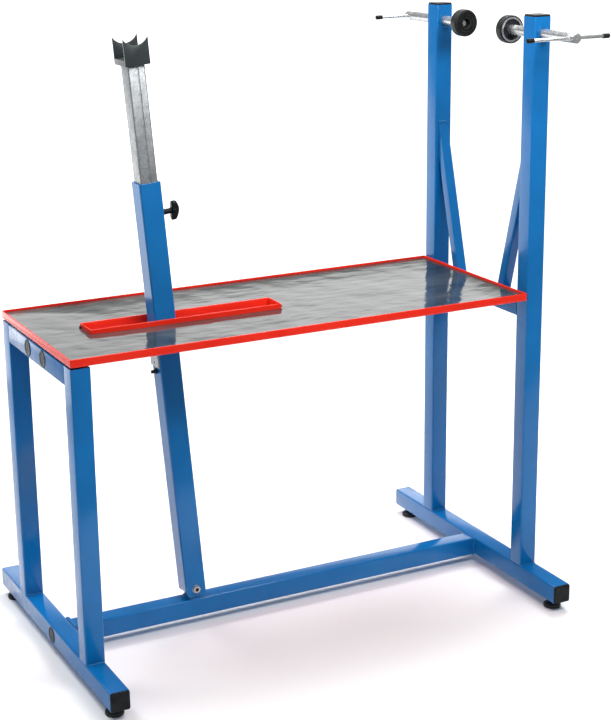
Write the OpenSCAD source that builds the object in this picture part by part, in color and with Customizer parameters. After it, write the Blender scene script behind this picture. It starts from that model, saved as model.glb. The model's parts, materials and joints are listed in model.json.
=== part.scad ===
/* [Frame] */
// Outside width of the square frame tubes
tube_w = 50; // [40:1:60]
// Wall thickness of the frame tubes
tube_wall = 3; // [2:0.5:4]
// Length of the whole frame over the outer faces of the foot beams
frame_len = 1312; // [1200:1:1400]
// Length of each foot beam without its end caps
foot_beam_len = 834; // [760:2:900]
// Width over the outer faces of the legs and uprights
frame_w = 516; // [480:2:540]
// Height of the top of the two uprights above the floor
upright_top = 1561; // [1450:1:1650]
// Outside width of the square brace tubes
brace_w = 28; // [25:1:32]

/* [Tray] */
// Height of the tray rim above the floor
tray_top = 850; // [850:1:870]
// Height of the folded tray rim
rim_h = 20; // [20:1:26]
// Length of the tray
tray_len = 1260; // [1180:1:1262]
// Width of the tray
tray_w = 520; // [500:2:560]
// Length of the slot collar
collar_len = 521; // [500:2:560]
// Width of the slot collar
collar_w = 76; // [70:1:80]

/* [Post] */
// Outside width of the post
post_w = 57; // [52:1:60]
// Wall thickness of the post
post_wall = 5; // [4:0.5:5]
// Length of the post above its pivot
post_len = 1093; // [1000:1:1150]
// Lean of the post towards the left end
post_tilt = 4.5; // [0:0.5:10]
// Outside width of the sliding mast
mast_w = 46; // [38:1:46]
// Height of the mast top above the pivot, measured along the post
mast_top = 1380; // [1300:1:1400]
// Length of the mast
mast_len = 820; // [700:1:900]

/* [Saddle] */
// Width of the saddle plates
saddle_w = 64; // [60:1:72]
// Width over both saddle plates
saddle_depth = 74; // [66:1:80]
// Height of the saddle horns above the mast top
saddle_h = 65; // [52:1:76]
// Radius of the cradle in the saddle plates
saddle_r = 37.5; // [36:0.5:44]

/* [Clamp] */
// Diameter of the clamp spindles
spindle_d = 26; // [20:1:28]
// Height of the spindles above the floor
spindle_z = 1519; // [1480:1:1526]
// Free gap between the two rubber pads
pad_gap = 192; // [188:1:200]
// Diameter of the rubber pads
pad_d = 72; // [66:1:76]
// Length of each tommy bar over its end sleeves
bar_len = 246; // [200:2:260]
// Offset of the front tommy bar from the middle of its spindle
front_bar_shift = -15; // [-40:1:40]
// Offset of the rear tommy bar from the middle of its spindle
rear_bar_shift = 8; // [-10:1:40]

/* [Feet] */
// Height of the levelling feet under the foot beams
foot_h = 26; // [24:1:34]
// Diameter of the levelling feet
foot_d = 47; // [40:1:50]
// Distance from each foot beam end to the foot's centre
foot_inset = 43; // [30:1:60]

/* [Hidden] */
$fn = 48;
eps = 0.01;
fit = 0.05;

// Colours
blue = "#2a6fb5";
red = "#e2382c";
zinc = "#c4c7c6";
mat_grey = "#4a4e50";
black = "#17181a";
charcoal = "#35383b";

// Frame positions, measured from the outer left face and from the floor
half_w = frame_w / 2;
beam_z = foot_h;
beam_top = foot_h + tube_w;
right_x = frame_len - tube_w;
spindle_x = right_x + tube_w / 2;
rim_bottom = tray_top - rim_h;
left_tube_top = rim_bottom - 5;
right_tube_top = rim_bottom - 2;
leg_cap_t = 8;
cap_t = 5;
cap_r = 4.5;
cap_inset = 0.5;
corner_r = 4;
long_beam_z = foot_h - 2;
flange_t = 8;
foot_y = foot_beam_len / 2 - foot_inset + cap_t - 2;

// Rails and their fixings
rail_w = 40;
rail_y = 56.5;
rail_bolt_z = left_tube_top - 24;
plate_t = 6;
access_d = 40;
bolt_d = 10;
beam_bolt_d = 12;

// Tray layers
sheet_t = 2;
core_t = 4.5;
liner_t = 1.5;
slot_x = 131;
collar_top = tray_top + 1;
deck_z = rim_bottom + sheet_t + core_t + liner_t;

// Post and mast, in the post's own frame with the pivot at its origin
pivot_x = slot_x + collar_len / 2 + 0.5;
pivot_z = beam_top + 29;
post_bore = post_w - 2 * post_wall;
post_foot = 20;
post_foot_r = post_w / 2;
pivot_d = 12;
pivot_block_w = 28;
knob_z = 1010;
stud_d = 10;
boss_t = 6;
adjuster_z = 609;
adjuster_d = 8;

// Clamp spindle stations, measured from the middle of the frame
pad_in = pad_gap / 2;
pad_t = 18;
pad_lip = 8;
cup_d = 64;
cup_bore = 54;
cup_t = 3;
cup_ring = 6;
rod_in = pad_in + pad_t + cup_t + 0.3;
head_mid = 389;
head_len = 30;
head_d = spindle_d;
bar_d = 9;
sleeve_d = 12;
sleeve_len = 20;

// The origin is on the floor under the middle of the bounding box
plug_proud = 1.5;
x_left = -plug_proud;
x_right = spindle_x + max(rear_bar_shift, front_bar_shift) + bar_len / 2;
x_mid = (x_left + x_right) / 2;

module to_origin() { translate([-x_mid, 0, 0]) children(); }
module on_post() {
    translate([pivot_x - x_mid, 0, pivot_z]) rotate([0, -post_tilt, 0]) children();
}

// Square outline with round corners
module round_square(w, r) {
    square([w - 2 * r, w], center = true);
    square([w, w - 2 * r], center = true);
    for (x = [-1, 1], y = [-1, 1]) translate([x * (w / 2 - r), y * (w / 2 - r)]) circle(r);
}
module tube_outline(w, t, r) {
    difference() {
        round_square(w, r);
        round_square(w - 2 * t, max(r - t, 0.6));
    }
}
// Square tube rising along Z from the origin, centred in X and Y
module tube(w, t, l, r = corner_r) { linear_extrude(l) tube_outline(w, t, r); }
module tube_y(l) { rotate([-90, 0, 0]) tube(tube_w, tube_wall, l); }
module tube_x(w, t, l) { rotate([0, 90, 0]) tube(w, t, l); }
module rod_x(d, l) { rotate([0, 90, 0]) cylinder(d = d, h = l); }
module rod_y(d, l) { rotate([-90, 0, 0]) cylinder(d = d, h = l); }
module hex(af, h) { cylinder(d = af / cos(30), h = h, $fn = 6); }

// ---------- end frames ----------
module foot_beam(x) {
    difference() {
        translate([x + tube_w / 2, -foot_beam_len / 2, beam_z + tube_w / 2]) tube_y(foot_beam_len);
        for (s = [-1, 1]) translate([x + tube_w / 2, s * foot_y, beam_z - 1])
            cylinder(d = stud_d + 1, h = tube_wall + 2);
    }
}
module left_foot_beam() {
    color(blue) to_origin() difference() {
        foot_beam(0);
        translate([-1, 0, beam_z + tube_w / 2]) rod_x(access_d, tube_w / 2);
        translate([tube_w / 2, 0, beam_z + tube_w / 2]) rod_x(beam_bolt_d, tube_w);
    }
}
module right_foot_beam() { color(blue) to_origin() foot_beam(right_x); }

module left_leg(s) {
    color(blue) to_origin() translate([tube_w / 2, s * (half_w - tube_w / 2), beam_top])
        tube(tube_w, tube_wall, left_tube_top - beam_top);
}
module left_front_leg() { left_leg(-1); }
module left_rear_leg() { left_leg(1); }
module leg_caps() {
    color(black) to_origin() for (s = [-1, 1])
        translate([tube_w / 2, s * (half_w - tube_w / 2), left_tube_top - leg_cap_t - 1])
            linear_extrude(leg_cap_t) round_square(tube_w - 2 * tube_wall, 1);
}
module cross_tube(x, top) {
    translate([x + tube_w / 2, -(half_w - tube_w), top - tube_w / 2]) tube_y(frame_w - 2 * tube_w);
}
module left_cross_tube() {
    color(blue) to_origin() difference() {
        cross_tube(0, left_tube_top);
        for (s = [-1, 1]) translate([0, s * rail_y, rail_bolt_z]) {
            translate([-1, 0, 0]) rod_x(access_d, tube_w / 2);
            translate([tube_w / 2, 0, 0]) rod_x(bolt_d, tube_w);
        }
    }
}
module right_cross_tube() { color(blue) to_origin() cross_tube(right_x, right_tube_top); }

module upright(s) {
    color(blue) to_origin() difference() {
        translate([spindle_x, s * (half_w - tube_w / 2), beam_top])
            tube(tube_w, tube_wall, upright_top - beam_top);
        translate([spindle_x, s * (half_w - tube_w / 2) - tube_w, spindle_z])
            rod_y(spindle_d + 12, 2 * tube_w);
    }
}
module front_upright() { upright(-1); }
module rear_upright() { upright(1); }

// Brace between the right cross tube and the inner face of one upright
brace_foot_y = 95;
brace_rise = 1241 - right_tube_top;
brace_run = half_w - tube_w - brace_foot_y;
brace_angle = atan2(brace_run, brace_rise);
module brace(s) {
    color(blue) to_origin() mirror([0, s < 0 ? 1 : 0, 0]) intersection() {
        translate([spindle_x, brace_foot_y, right_tube_top]) rotate([-brace_angle, 0, 0])
            translate([0, brace_w / 2, -80]) tube(brace_w, 2, brace_rise + 160, 3);
        translate([right_x, 0, right_tube_top])
            cube([tube_w, half_w - tube_w, brace_rise + 60]);
    }
}
module front_brace() { brace(-1); }
module rear_brace() { brace(1); }

// ---------- lower beam ----------
module long_beam() {
    color(blue) to_origin() translate([tube_w + flange_t, 0, long_beam_z + tube_w / 2])
        tube_x(tube_w, tube_wall, right_x - tube_w - flange_t);
}
module beam_flange() {
    color(blue) to_origin() difference() {
        union() {
            translate([tube_w, -32, long_beam_z - 2]) cube([flange_t, 64, beam_top - long_beam_z + 2]);
            translate([tube_w + flange_t, 0, beam_z + tube_w / 2]) rotate([0, 90, 0]) hex(19, 10);
        }
        translate([tube_w - 1, 0, beam_z + tube_w / 2]) rod_x(beam_bolt_d, 30);
    }
}
module hex_bolt_x(d, af, head, l) {
    translate([-head, 0, 0]) rotate([0, 90, 0]) hex(af, head);
    translate([-eps, 0, 0]) rod_x(d, l);
}
module beam_bolt() {
    color(zinc) to_origin() translate([tube_w - tube_wall, 0, beam_z + tube_w / 2])
        hex_bolt_x(beam_bolt_d, 19, 7.5, 30);
}

// ---------- rails under the tray ----------
module rails() {
    color(blue) to_origin() for (s = [-1, 1])
        translate([tube_w + plate_t, s * rail_y, rim_bottom - rail_w / 2])
            tube_x(rail_w, 3, right_x - tube_w - plate_t);
}
module rail_plates() {
    color(blue) to_origin() for (s = [-1, 1]) difference() {
        union() {
            translate([tube_w, s * rail_y - rail_w / 2, left_tube_top - 46])
                cube([plate_t, rail_w, rim_bottom - left_tube_top + 46]);
            translate([tube_w + plate_t, s * rail_y, rail_bolt_z]) rod_x(15, 8);
        }
        translate([tube_w - 1, s * rail_y, rail_bolt_z]) rod_x(bolt_d, 30);
    }
}
module rail_bolts() {
    color(zinc) to_origin() for (s = [-1, 1])
        translate([tube_w - tube_wall, s * rail_y, rail_bolt_z]) hex_bolt_x(bolt_d, 16, 6.4, 26);
}
module access_plug() {
    translate([-plug_proud, 0, 0]) rod_x(access_d + 3, plug_proud);
    difference() {
        rod_x(access_d, 9);
        translate([2, 0, 0]) rod_x(access_d - 5, 8);
    }
}
module access_plugs() {
    color(black) to_origin() {
        for (s = [-1, 1]) translate([0, s * rail_y, rail_bolt_z]) access_plug();
        translate([0, 0, beam_z + tube_w / 2]) access_plug();
    }
}

// ---------- plastic caps ----------
module tube_cap() {
    w = tube_w - 2 * cap_inset;
    linear_extrude(cap_t - 1.2) round_square(w, cap_r);
    translate([0, 0, cap_t - 1.2]) linear_extrude(1.2) round_square(w - 2.4, cap_r - 1.2);
    translate([0, 0, -12]) difference() {
        linear_extrude(12 + eps) round_square(tube_w - 2 * tube_wall, 1);
        translate([0, 0, -1]) linear_extrude(12) round_square(tube_w - 2 * tube_wall - 5, 1);
    }
}
module foot_beam_caps() {
    color(black) to_origin() for (x = [tube_w / 2, spindle_x], s = [-1, 1])
        translate([x, s * foot_beam_len / 2, beam_z + tube_w / 2]) rotate([-s * 90, 0, 0]) tube_cap();
}
module upright_caps() {
    color(black) to_origin() for (s = [-1, 1])
        translate([spindle_x, s * (half_w - tube_w / 2), upright_top]) tube_cap();
}

// ---------- tray ----------
module slot(z, h, w = collar_w) {
    translate([slot_x, -w / 2, z]) cube([collar_len, w, h]);
}
module tray() {
    color(red) to_origin() difference() {
        translate([0, -tray_w / 2, rim_bottom]) cube([tray_len, tray_w, rim_h]);
        translate([sheet_t, -tray_w / 2 + sheet_t, rim_bottom + sheet_t])
            cube([tray_len - 2 * sheet_t, tray_w - 2 * sheet_t, rim_h]);
        slot(rim_bottom - 1, 10);
    }
}
module tray_sheet(z, t) {
    difference() {
        translate([sheet_t, -tray_w / 2 + sheet_t, z])
            cube([tray_len - 2 * sheet_t, tray_w - 2 * sheet_t, t]);
        slot(z - 1, t + 2);
    }
}
module tray_core() { color("#b8935f") to_origin() tray_sheet(rim_bottom + sheet_t, core_t); }
module tray_liner() {
    color(mat_grey) to_origin() tray_sheet(rim_bottom + sheet_t + core_t, liner_t);
}
module collar_screw_at(e) {
    translate([slot_x + e * collar_len, 0, 0]) rotate([0, 0, e * 180])
        translate([0, collar_w / 2 - 7, tray_top - 7.4]) children();
}
module slot_collar() {
    color(red) to_origin() difference() {
        slot(rim_bottom, collar_top - rim_bottom);
        translate([slot_x + sheet_t, -collar_w / 2 + sheet_t, rim_bottom - 1])
            cube([collar_len - 2 * sheet_t, collar_w - 2 * sheet_t, 40]);
        for (e = [0, 1]) collar_screw_at(e) translate([-1, 0, 0]) rod_x(3, 6);
    }
}
module collar_screws() {
    color(black) to_origin() for (e = [0, 1]) collar_screw_at(e) difference() {
        union() {
            translate([-4, 0, 0]) rod_x(4.6, 4);
            translate([-eps, 0, 0]) rod_x(3, 5);
        }
        translate([-5, 0, 0]) rotate([0, 90, 0]) hex(2, 3);
    }
}

// ---------- pivot and post ----------
module pivot_block() {
    color(blue) to_origin() translate([pivot_x, 0, 0]) difference() {
        union() {
            translate([-pivot_block_w / 2, -21.5, long_beam_z + tube_w])
                cube([pivot_block_w, 43, pivot_z - long_beam_z - tube_w]);
            translate([0, -21.5, pivot_z]) rod_y(pivot_block_w, 43);
        }
        translate([0, -30, pivot_z]) rod_y(pivot_d + 2 * fit, 60);
    }
}
module post_tube() {
    color(blue) on_post() difference() {
        translate([0, 0, -post_foot]) tube(post_w, post_wall, post_len + post_foot, 5);
        // the foot is rounded so that it clears the beam as the post leans
        difference() {
            translate([-40, -40, -40]) cube([80, 80, 40]);
            translate([0, -41, 0]) rod_y(2 * post_foot_r, 82);
        }
        translate([0, -40, 0]) rod_y(pivot_d, 80);
        translate([post_w / 2 - 10, 0, knob_z]) rod_x(stud_d + 1, 12);
        translate([-post_w / 2 - 2, 0, adjuster_z]) rod_x(adjuster_d + 1, 12);
    }
}
module pivot_bolt() {
    color(zinc) on_post() difference() {
        union() {
            translate([0, -post_w / 2 - 7, 0]) rod_y(22, 7);
            translate([0, -post_w / 2 - eps, 0]) rod_y(pivot_d, post_w + 14);
        }
        translate([0, -post_w / 2 - 8, 0]) rotate([-90, 0, 0]) hex(10, 6);
    }
}
module pivot_nut() {
    color(zinc) on_post() difference() {
        translate([0, post_w / 2, 0]) rotate([-90, 0, 0]) union() {
            cylinder(d = 24, h = 2);
            translate([0, 0, 2 - eps]) hex(19, 9);
        }
        translate([0, post_w / 2 - 1, 0]) rod_y(pivot_d, 14);
    }
}
module knob_boss() {
    color(zinc) on_post() difference() {
        translate([post_w / 2, 0, knob_z]) rod_x(18, boss_t);
        translate([post_w / 2 - 1, 0, knob_z]) rod_x(stud_d + 2 * fit, boss_t + 2);
    }
}
module adjuster_nut() {
    color(black) on_post() difference() {
        translate([-post_w / 2 - 6, 0, adjuster_z]) rotate([0, 90, 0]) hex(13, 6);
        translate([-post_w / 2 - 7, 0, adjuster_z]) rod_x(adjuster_d + 2 * fit, 9);
    }
}
module guide_plate() {
    color(zinc) on_post() difference() {
        translate([-post_w / 2 - 4, -post_w / 2 + 4, adjuster_z + 13]) cube([4, post_w - 8, 59]);
        for (z = [24, 58]) translate([-post_w / 2 - 5, 0, adjuster_z + z]) rod_x(6, 3);
    }
}
module mast_tube() {
    color(zinc) on_post() difference() {
        translate([0, 0, mast_top - mast_len - 4]) tube(mast_w, 3, mast_len);
        translate([mast_w * 0.06, -mast_w / 2 - 1, mast_top - mast_len - 5])
            cube([1.6, 2, mast_len + 2]);
    }
}
module mast_top_plate() {
    color(zinc) on_post() translate([0, 0, mast_top - 4]) linear_extrude(4) round_square(mast_w, 4);
}

// ---------- saddle ----------
saddle_x = 0;
saddle_web = 15;
saddle_dip = 17.5;
module saddle_outline() {
    w = saddle_w;
    difference() {
        translate([-w / 2, 0]) square([w, saddle_h]);
        translate([0, saddle_h - saddle_dip + saddle_r]) circle(saddle_r, $fn = 96);
    }
}
module saddle() {
    t = 5;
    color(charcoal) on_post() translate([saddle_x, 0, mast_top]) {
        for (y = [-saddle_depth / 2 + t, saddle_depth / 2]) translate([0, y, 0])
            rotate([90, 0, 0]) linear_extrude(t) saddle_outline();
        translate([-saddle_w / 2, -saddle_depth / 2 + t / 2, 0])
            cube([saddle_w, saddle_depth - t, saddle_web]);
    }
}

// ---------- locking screws on the post ----------
tip_t = 3;
knob_stem = post_w / 2 + boss_t + 0.4;
knob_head = 57;
module knob_tip() {
    color("#b5924c") on_post() translate([mast_w / 2 + 0.1, 0, knob_z]) rod_x(8, tip_t);
}
// Outline of the two-winged knob, long axis along Y of the outline
module wing_outline() {
    for (s = [-1, 1]) translate([0, s * 18]) circle(8);
    translate([-8, -18]) square([16, 36]);
    circle(12);
}
module wing_knob() {
    color(black) on_post() translate([0, 0, knob_z]) {
        translate([mast_w / 2 + tip_t + 0.2, 0, 0])
            rod_x(stud_d, knob_head - mast_w / 2 - tip_t);
        translate([knob_stem, 0, 0]) rod_x(15, knob_head - knob_stem + 1);
        translate([knob_head, 0, 0]) rotate([-14, 0, 0]) intersection() {
            rotate([90, 0, 90]) linear_extrude(24) wing_outline();
            translate([-32, 0, 0]) rotate([90, 0, 0]) cylinder(r = 55, h = 60, center = true, $fn = 96);
        }
    }
}
module adjuster_tip() {
    color("#b5924c") on_post() translate([-mast_w / 2 - 0.1 - tip_t, 0, adjuster_z]) rod_x(6, tip_t);
}
module adjuster_screw() {
    x = -mast_w / 2 - 0.2 - tip_t;
    color(black) on_post() translate([0, 0, adjuster_z]) {
        translate([-44, 0, 0]) rod_x(adjuster_d, 44 + x);
        translate([-44, 0, 0]) rod_x(9.5, 8);
    }
}

// ---------- clamp spindles ----------
// Everything below is drawn for the rear side and mirrored for the front one
module at_side(s) {
    to_origin() translate([spindle_x, 0, spindle_z]) mirror([0, s < 0 ? 1 : 0, 0]) children();
}
module spindle_bushes() {
    color(zinc) for (s = [-1, 1]) at_side(s) difference() {
        translate([0, half_w - tube_w - 5, 0]) rod_y(spindle_d + 12, tube_w + 10);
        translate([0, half_w - tube_w - 6, 0]) rod_y(spindle_d + 2 * fit, tube_w + 12);
    }
}
module pad() {
    difference() {
        translate([0, pad_in, 0]) rod_y(pad_d, pad_t + pad_lip);
        translate([0, pad_in + pad_t, 0]) rod_y(cup_d + 0.2, pad_lip + 1);
        translate([0, pad_in - 1, 0]) rod_y(22, pad_t + 2);
        for (d = [36, 52]) translate([0, pad_in - 1, 0]) difference() {
            rod_y(d + 4, 3);
            translate([0, -1, 0]) rod_y(d, 5);
        }
    }
}
module cup() {
    difference() {
        translate([0, pad_in + pad_t, 0]) rod_y(cup_d, cup_t + cup_ring);
        translate([0, pad_in + pad_t + cup_t, 0]) rod_y(cup_bore, cup_ring + 1);
        translate([0, pad_in + pad_t - 1, 0]) rod_y(12 + 2 * fit, cup_t + 2);
    }
}
module spindle() {
    difference() {
        union() {
            translate([0, rod_in, 0]) rod_y(spindle_d, head_mid - head_len / 2 - rod_in);
            translate([0, pad_in + pad_t - 0.6, 0]) rod_y(12, 6);
            translate([0, head_mid - head_len / 2 - eps, 0]) rod_y(head_d, head_len - 2);
            translate([0, head_mid + head_len / 2 - 2.1, 0]) rotate([-90, 0, 0])
                cylinder(d1 = head_d, d2 = head_d - 6, h = 2.1);
        }
        translate([-30, head_mid, 0]) rod_x(bar_d + 2 * fit, 60);
        translate([0, pad_in, 0]) rod_y(6, 40);
    }
}
module pad_screw() {
    y0 = pad_in + pad_t - 0.6;
    translate([0, y0 - 1.4, 0]) rod_y(18, 1.4);
    translate([0, y0 - 1.4 - 4, 0]) difference() {
        rotate([-90, 0, 0]) hex(11, 4 + eps);
        translate([0, -1, 0]) rod_y(5, 2);
    }
    translate([0, y0 - 1, 0]) rod_y(6, 16);
}
module bar(shift) {
    translate([shift - bar_len / 2 + 2, head_mid, 0]) rod_x(bar_d, bar_len - 4);
    for (e = [0, 1]) translate([shift + (e - 0.5) * (bar_len - sleeve_len) - sleeve_len / 2,
        head_mid, 0]) rod_x(sleeve_d, sleeve_len);
}
module front_pad() { color(black) at_side(-1) pad(); }
module front_cup() { color(zinc) at_side(-1) cup(); }
module front_spindle() { color(zinc) at_side(-1) spindle(); }
module front_pad_screw() { color(zinc) at_side(-1) pad_screw(); }
module front_bar() { color(zinc) at_side(-1) bar(front_bar_shift); }
module rear_pad() { color(black) at_side(1) pad(); }
module rear_cup() { color(zinc) at_side(1) cup(); }
module rear_spindle() { color(zinc) at_side(1) spindle(); }
module rear_pad_screw() { color(zinc) at_side(1) pad_screw(); }
module rear_bar() { color(zinc) at_side(1) bar(rear_bar_shift); }

// ---------- levelling feet ----------
pad_h = 15;
module at_foot(x, s) { to_origin() translate([x, s * foot_y, 0]) children(); }
module foot_nuts() {
    color(zinc) for (x = [tube_w / 2, spindle_x], s = [-1, 1]) at_foot(x, s) difference() {
        translate([0, 0, beam_z + tube_wall]) hex(17, 10);
        translate([0, 0, beam_z]) cylinder(d = stud_d + 2 * fit, h = 20);
    }
}
module foot_pad(x, s) {
    color(black) at_foot(x, s) difference() {
        union() {
            cylinder(d = foot_d, h = pad_h - 4);
            translate([0, 0, pad_h - 4 - eps]) cylinder(d1 = foot_d, d2 = foot_d - 14, h = 4 + eps);
        }
        translate([0, 0, 6]) cylinder(d = stud_d + 2 * fit, h = pad_h);
    }
}
module foot_stud(x, s) {
    color(black) at_foot(x, s) {
        translate([0, 0, 6.2]) cylinder(d = stud_d, h = 46);
        translate([0, 0, pad_h + 0.4]) hex(19, beam_z - pad_h - 1);
    }
}
module foot_pad_fl() { foot_pad(tube_w / 2, -1); }
module foot_pad_fr() { foot_pad(spindle_x, -1); }
module foot_pad_rl() { foot_pad(tube_w / 2, 1); }
module foot_pad_rr() { foot_pad(spindle_x, 1); }
module foot_stud_fl() { foot_stud(tube_w / 2, -1); }
module foot_stud_fr() { foot_stud(spindle_x, -1); }
module foot_stud_rl() { foot_stud(tube_w / 2, 1); }
module foot_stud_rr() { foot_stud(spindle_x, 1); }

left_foot_beam();
right_foot_beam();
left_front_leg();
left_rear_leg();
leg_caps();
left_cross_tube();
right_cross_tube();
front_upright();
rear_upright();
front_brace();
rear_brace();
long_beam();
beam_flange();
beam_bolt();
rails();
rail_plates();
rail_bolts();
access_plugs();
foot_beam_caps();
upright_caps();
foot_nuts();
tray();
tray_core();
tray_liner();
slot_collar();
collar_screws();
pivot_block();
spindle_bushes();
post_tube();
pivot_bolt();
pivot_nut();
knob_boss();
adjuster_nut();
guide_plate();
mast_tube();
mast_top_plate();
saddle();
knob_tip();
wing_knob();
adjuster_tip();
adjuster_screw();
front_pad();
front_cup();
front_spindle();
front_pad_screw();
front_bar();
rear_pad();
rear_cup();
rear_spindle();
rear_pad_screw();
rear_bar();
foot_pad_fl();
foot_pad_fr();
foot_pad_rl();
foot_pad_rr();
foot_stud_fl();
foot_stud_fr();
foot_stud_rl();
foot_stud_rr();
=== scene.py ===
# Looks of the bike repair stand: materials, finished pieces, floor, light and camera.
import bpy, bmesh, json, math
from mathutils import Matrix, Vector


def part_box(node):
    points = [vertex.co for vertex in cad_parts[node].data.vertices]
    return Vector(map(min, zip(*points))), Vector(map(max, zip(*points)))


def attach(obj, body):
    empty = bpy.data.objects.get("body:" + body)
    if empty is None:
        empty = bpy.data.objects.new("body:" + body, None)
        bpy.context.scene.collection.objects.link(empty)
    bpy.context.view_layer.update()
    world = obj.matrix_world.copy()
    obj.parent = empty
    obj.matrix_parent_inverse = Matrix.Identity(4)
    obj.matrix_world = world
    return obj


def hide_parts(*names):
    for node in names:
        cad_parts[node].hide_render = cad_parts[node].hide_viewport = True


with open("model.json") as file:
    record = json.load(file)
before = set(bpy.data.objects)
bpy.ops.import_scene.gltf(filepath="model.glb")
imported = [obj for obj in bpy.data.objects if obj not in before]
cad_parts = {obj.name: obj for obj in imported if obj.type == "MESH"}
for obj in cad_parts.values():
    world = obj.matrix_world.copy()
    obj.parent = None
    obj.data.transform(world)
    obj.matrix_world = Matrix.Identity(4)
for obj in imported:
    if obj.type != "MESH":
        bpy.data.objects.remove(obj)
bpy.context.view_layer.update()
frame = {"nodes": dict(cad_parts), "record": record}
MM = 0.001
joints = {j["name"]: j for j in frame["record"]["behaviour"]["joints"]}


# ---------------------------------------------------------------- materials
def shader(name, color, rough, metal=0.0, ior=1.5):
    m = bpy.data.materials.new(name)
    m.use_nodes = True
    b = m.node_tree.nodes["Principled BSDF"]
    b.inputs["Base Color"].default_value = (*color, 1)
    b.inputs["Roughness"].default_value = rough
    b.inputs["Metallic"].default_value = metal
    b.inputs["IOR"].default_value = ior
    return m, m.node_tree, b


def coords(nt, stretch=(1, 1, 1)):
    t = nt.nodes.new("ShaderNodeTexCoord")
    mp = nt.nodes.new("ShaderNodeMapping")
    mp.inputs["Scale"].default_value = stretch
    nt.links.new(t.outputs["Object"], mp.inputs["Vector"])
    return mp.outputs["Vector"]


def noise(nt, vec, scale, detail=3.0, rough=0.5):
    n = nt.nodes.new("ShaderNodeTexNoise")
    n.inputs["Scale"].default_value = scale
    n.inputs["Detail"].default_value = detail
    n.inputs["Roughness"].default_value = rough
    nt.links.new(vec, n.inputs["Vector"])
    return n.outputs["Fac"]


def spread(nt, fac, lo, hi, a=0.3, b=0.7):
    r = nt.nodes.new("ShaderNodeMapRange")
    for key, v in (("From Min", a), ("From Max", b), ("To Min", lo), ("To Max", hi)):
        r.inputs[key].default_value = v
    nt.links.new(fac, r.inputs["Value"])
    return r.outputs["Result"]


def two_colors(nt, fac, c1, c2, a=0.35, b=0.65):
    r = nt.nodes.new("ShaderNodeValToRGB")
    r.color_ramp.elements[0].position, r.color_ramp.elements[1].position = a, b
    r.color_ramp.elements[0].color = (*c1, 1)
    r.color_ramp.elements[1].color = (*c2, 1)
    nt.links.new(fac, r.inputs["Fac"])
    return r.outputs["Color"]


def bumps(nt, b, *layers):
    """Each layer is (height, strength, distance in metres)."""
    last = None
    for fac, strength, dist in layers:
        n = nt.nodes.new("ShaderNodeBump")
        n.inputs["Strength"].default_value = strength
        n.inputs["Distance"].default_value = dist
        nt.links.new(fac, n.inputs["Height"])
        if last is not None:
            nt.links.new(last, n.inputs["Normal"])
        last = n.outputs["Normal"]
    nt.links.new(last, b.inputs["Normal"])


def powder_coat(name, dark, light, rough=0.2):
    """Gloss powder coat: orange peel, slow wandering of the sheet under it, and faint rub marks."""
    m, nt, b = shader(name, light, rough, ior=1.38)
    v = coords(nt)
    nt.links.new(two_colors(nt, noise(nt, v, 7, 4), dark, light), b.inputs["Base Color"])
    nt.links.new(spread(nt, noise(nt, v, 38, 5), rough - 0.05, rough + 0.07), b.inputs["Roughness"])
    bumps(nt, b, (noise(nt, v, 420, 2), 0.10, 0.0006), (noise(nt, v, 9, 1), 0.06, 0.012))
    return m


def cast_metal(name, c1, c2, rough, scale, bump=0.08, metal=1.0):
    m, nt, b = shader(name, c2, rough, metal)
    v = coords(nt)
    nt.links.new(two_colors(nt, noise(nt, v, scale, 5, 0.6), c1, c2), b.inputs["Base Color"])
    nt.links.new(spread(nt, noise(nt, v, scale * 3, 4), rough - 0.07, rough + 0.1), b.inputs["Roughness"])
    bumps(nt, b, (noise(nt, v, scale * 6, 3), bump, 0.0005))
    return m


def galvanised():
    """Hot-dipped zinc: spangle, dull patches and a fine drawn grain along the tube."""
    m, nt, b = shader("galvanised_zinc", (0.4, 0.41, 0.42), 0.42, 0.9)
    v = coords(nt)
    vo = nt.nodes.new("ShaderNodeTexVoronoi")
    vo.inputs["Scale"].default_value = 300
    nt.links.new(v, vo.inputs["Vector"])
    sep = nt.nodes.new("ShaderNodeSeparateColor")
    nt.links.new(vo.outputs["Color"], sep.inputs["Color"])
    mix = nt.nodes.new("ShaderNodeMath")
    mix.operation = "ADD"
    nt.links.new(spread(nt, sep.outputs["Red"], 0.0, 0.45, 0, 1), mix.inputs[0])
    nt.links.new(spread(nt, noise(nt, v, 50, 6, 0.65), 0.0, 0.55), mix.inputs[1])
    nt.links.new(two_colors(nt, mix.outputs[0], (0.22, 0.235, 0.245), (0.40, 0.415, 0.425), 0.1, 0.9),
                 b.inputs["Base Color"])
    nt.links.new(spread(nt, sep.outputs["Green"], 0.36, 0.52, 0, 1), b.inputs["Roughness"])
    bumps(nt, b, (noise(nt, coords(nt, (1, 1, 0.05)), 500, 2), 0.08, 0.0004),
          (noise(nt, v, 60, 3), 0.12, 0.0008))
    return m


def tray_mat():
    """Dark glossy mat: thin wear film and slow buckles that bend reflections."""
    m, nt, b = shader("glossy_dark_mat", (0.03, 0.032, 0.032), 0.16, 0.0, ior=1.60)
    v = coords(nt)
    nt.links.new(two_colors(nt, noise(nt, coords(nt, (0.6, 1.8, 1)), 5, 6, 0.62), (0.016, 0.018, 0.018),
                            (0.055, 0.058, 0.057)), b.inputs["Base Color"])
    nt.links.new(spread(nt, noise(nt, v, 12, 6, 0.65), 0.05, 0.15), b.inputs["Roughness"])
    bumps(nt, b, (noise(nt, coords(nt, (1.0, 1.6, 1)), 9, 2), 0.22, 0.010),
          (noise(nt, v, 300, 3), 0.04, 0.0004))
    return m


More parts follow.
